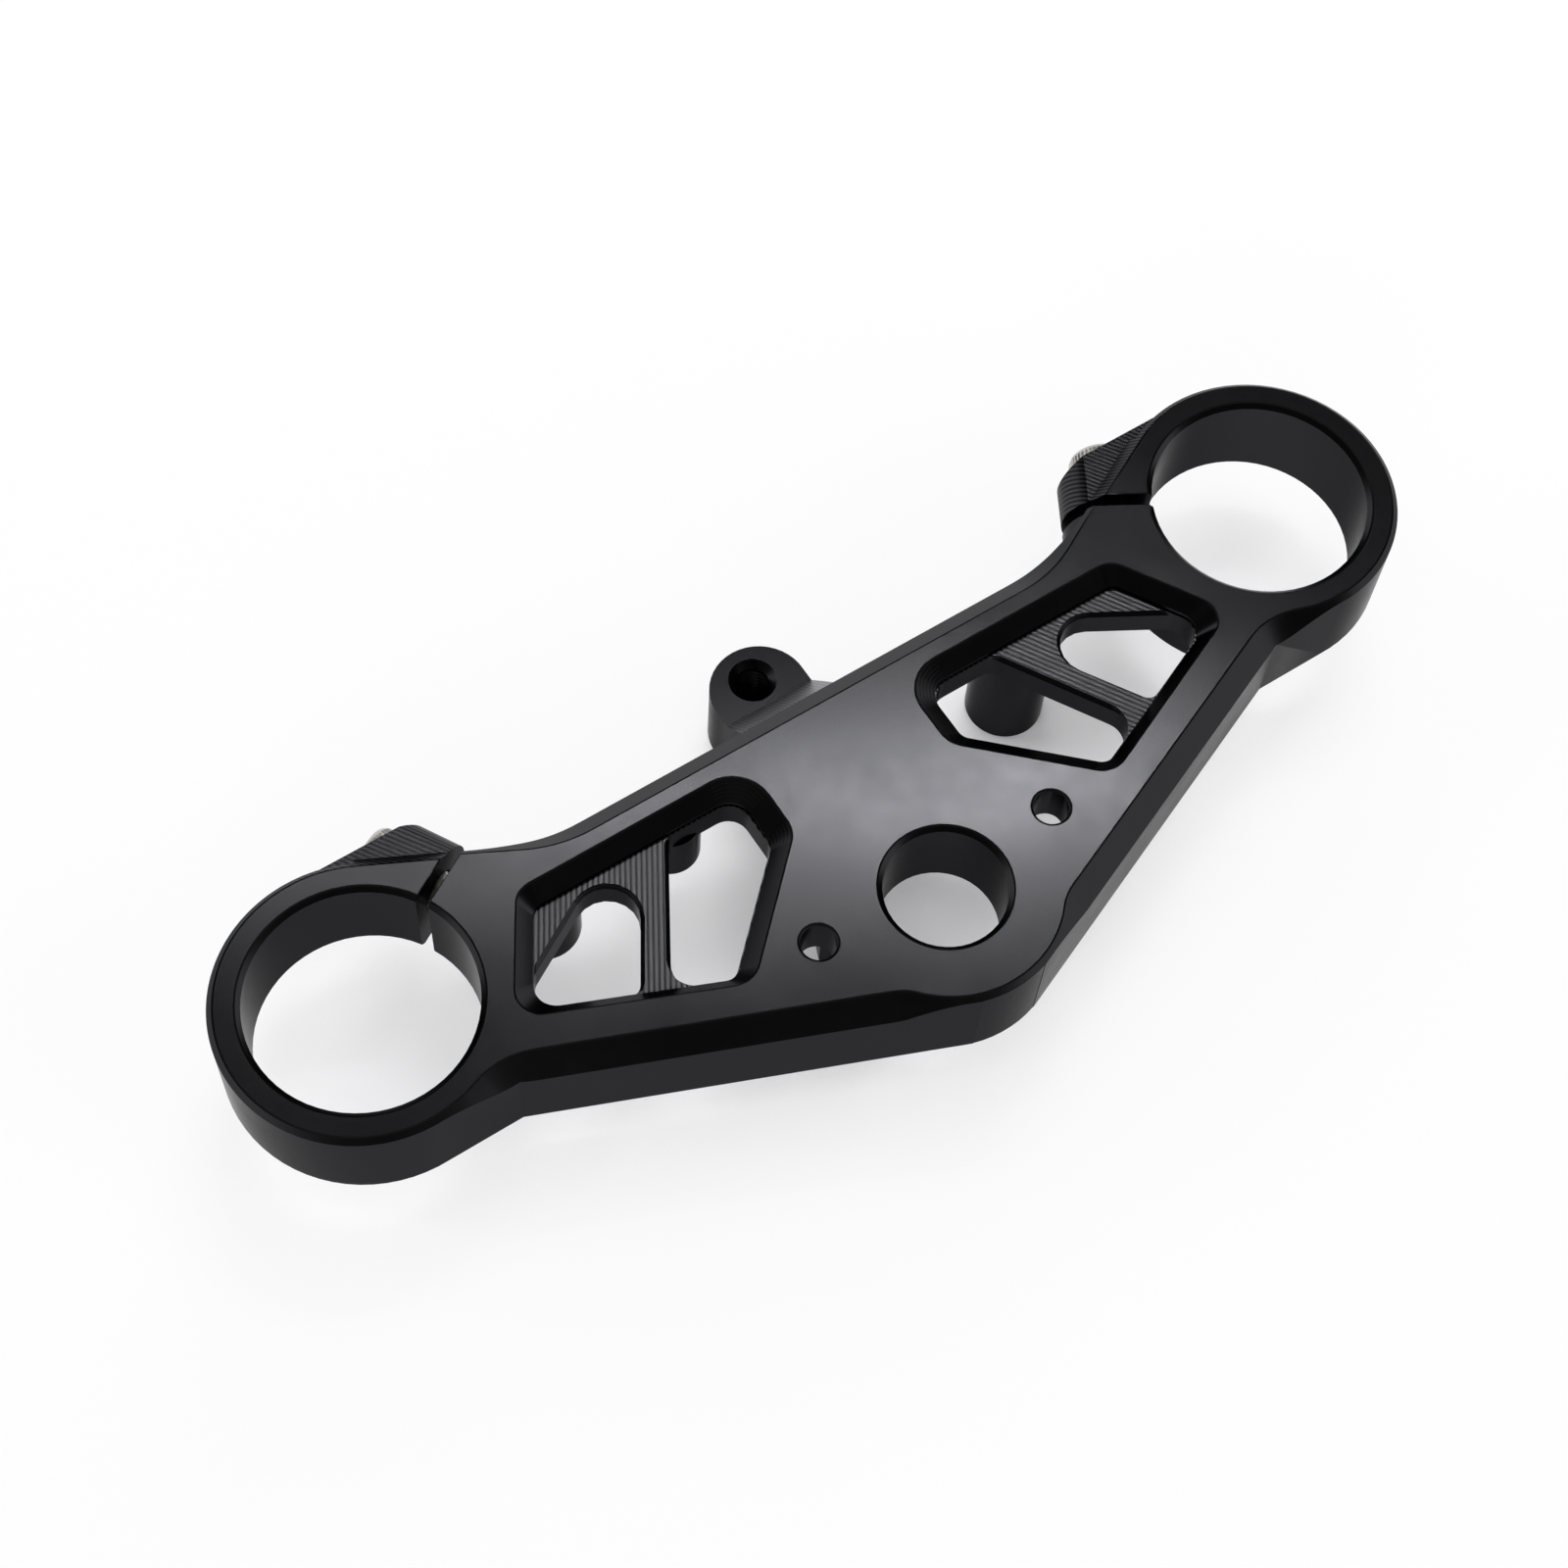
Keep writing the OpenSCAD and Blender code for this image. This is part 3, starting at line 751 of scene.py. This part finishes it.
# %% [markdown]
# The camera
#
# The view was worked out from the photograph: the round bores and the straight edges fix where the eye
# stood. It looks down steeply, a little turned and tipped. The numbers are the eye's distance and angles
# about a point on the top face, and the lens is a long one, so far edges hardly shrink.

# %% Set the camera
AZIMUTH, ELEVATION, ROLL = (math.radians(a) for a in (-37.623, 62.435, -5.05))
EYE_DISTANCE = 552.9
LENS = 67.909
look_at = Vector((-13.753, fork.y - 3.885, 0))

back = Vector((
    math.sin(AZIMUTH) * math.cos(ELEVATION), -math.cos(AZIMUTH) * math.cos(ELEVATION), math.sin(ELEVATION)))
level_right = Vector((math.cos(AZIMUTH), math.sin(AZIMUTH), 0))
level_down = (-back).cross(level_right)
right = math.cos(ROLL) * level_right + math.sin(ROLL) * level_down
down = math.cos(ROLL) * level_down - math.sin(ROLL) * level_right
camera_data = bpy.data.cameras.new("camera")
camera_data.lens = LENS
camera_data.sensor_width = 36
camera_data.clip_start = 0.01
camera = bpy.data.objects.new("camera", camera_data)
turned = Matrix((right, -down, back)).transposed().to_4x4()
camera.matrix_world = Matrix.Translation((look_at + EYE_DISTANCE * back) * MM) @ turned
bpy.context.scene.collection.objects.link(camera)
bpy.context.scene.camera = camera
print("camera at", [round(v, 4) for v in camera.matrix_world.translation])

# %% [markdown]
# The sheen
#
# A black satin part shows only what it mirrors. The pale band across the top face is the image of a long
# narrow lamp high behind the clamp, brighter towards one end. A point of the plate mirrors the spot where a
# ray from the eye would bounce to, so the lamp is hung by the points on the plate between which its image
# has to lie. Overlapping strips make it brighten from left to right.


# %% Hang the strip lamp
def lamp(name, place, aim, size, power, run=(1, 0, 0)):
    data = bpy.data.lights.new(name, "AREA")
    data.shape = "RECTANGLE"
    data.size, data.size_y = size
    data.energy = power
    item = bpy.data.objects.new(name, data)
    out = (place - aim).normalized()
    width = (Vector(run) - out * Vector(run).dot(out)).normalized()
    axes = Matrix((width, out.cross(width), out)).transposed().to_4x4()
    item.matrix_world = Matrix.Translation(place) @ axes
    bpy.context.scene.collection.objects.link(item)
    return item


eye = camera.matrix_world.translation
BAND_MIDDLE = Vector((-10, fork.y - 10, 0)) * MM
BAND_RUN = Vector((0.887, -0.461, 0))
STRIP_DISTANCE = 1.3
STRIP_WIDTH = 0.04
# start and end of each strip's image along the band in millimetres, and its radiance
STRIPS = ((-115, 72, 11), (-70, 72, 7), (-20, 72, 9), (10, 68, 9))


def seen_in_plate(point):
    ray = (point - eye).normalized()
    return point + Vector((ray.x, ray.y, -ray.z)) * STRIP_DISTANCE


for number, (start, end, radiance) in enumerate(STRIPS):
    first, last = (seen_in_plate(BAND_MIDDLE + BAND_RUN * along_mm * MM) for along_mm in (start, end))
    length = (last - first).length
    power = radiance * math.pi * length * STRIP_WIDTH
    strip = lamp(
        f"strip_lamp_{number}", (first + last) / 2, BAND_MIDDLE, (length, STRIP_WIDTH), power,
        run=last - first)
    print(f"{strip.name}: {length:.2f} m long, {power:.2f} W")

# %% [markdown]
# Soft light on the paper
#
# The paper under the clamp is bright and its shadows are faint, so light reaches it from all round. One
# wide lamp stands behind the strip, one hangs overhead and four stand about at a low angle. They are kept
# out of mirror images, where square bright patches would break the one soft band that the photograph shows.

# %% Hang the wide lamps
PLATE_MIDDLE = Vector((0, 0.03, 0))


def wide_lamp(name, direction, distance, size, power):
    item = lamp(name, PLATE_MIDDLE + Vector(direction).normalized() * distance, PLATE_MIDDLE, size, power)
    item.visible_glossy = False
    return item


wide_lamp("key_lamp", (0.324, 0.340, 0.883), 1.4, (0.5, 0.5), 3.3)
wide_lamp("top_lamp", (0, 0, 1), 1.6, (2, 2), 6.5)
LOW_ANGLE = math.radians(25)
for quarter in range(4):
    heading = math.radians(45 + 90 * quarter)
    low = (math.cos(heading), math.sin(heading), math.tan(LOW_ANGLE))
    wide_lamp(f"wall_lamp_{quarter}", low, 1.4, (1.2, 0.7), 6.5)

# %% [markdown]
# The room
#
# The world is worked out from the direction alone, so it stays put when the view turns. It is white up to
# 14 degrees above the horizon, as a backdrop that sweeps up behind the paper. Above that it is nearly
# black, which is what the bevels mirror, and dim grey overhead for the level faces.

# %% Paint the world
# height of a direction, as the sine of its angle above the horizon, and the brightness there
ROOM = ((0, 1), (0.24, 1), (0.3, 0.06), (0.6, 0.06), (0.8, 0.2), (1, 0.22))
world = bpy.data.worlds.new("studio")
bpy.context.scene.world = world
world.use_nodes = True
room = world.node_tree
room.nodes.clear()
heading = add(room, "ShaderNodeTexCoord").outputs["Generated"]
height = add(room, "ShaderNodeSeparateXYZ", links={0: heading}).outputs["Z"]
shades = add(room, "ShaderNodeValToRGB", links={0: height})
ramp = shades.color_ramp
while len(ramp.elements) < len(ROOM):
    ramp.elements.new(1)
for element, (position, grey) in zip(ramp.elements, ROOM):
    element.position = position
    element.color = (grey, grey, grey, 1)
lit = add(room, "ShaderNodeBackground", {"Strength": 1.0}, {"Color": shades.outputs["Color"]})
add(room, "ShaderNodeOutputWorld", links={"Surface": lit.outputs[0]})
bpy.context.scene.view_settings.view_transform = "Standard"
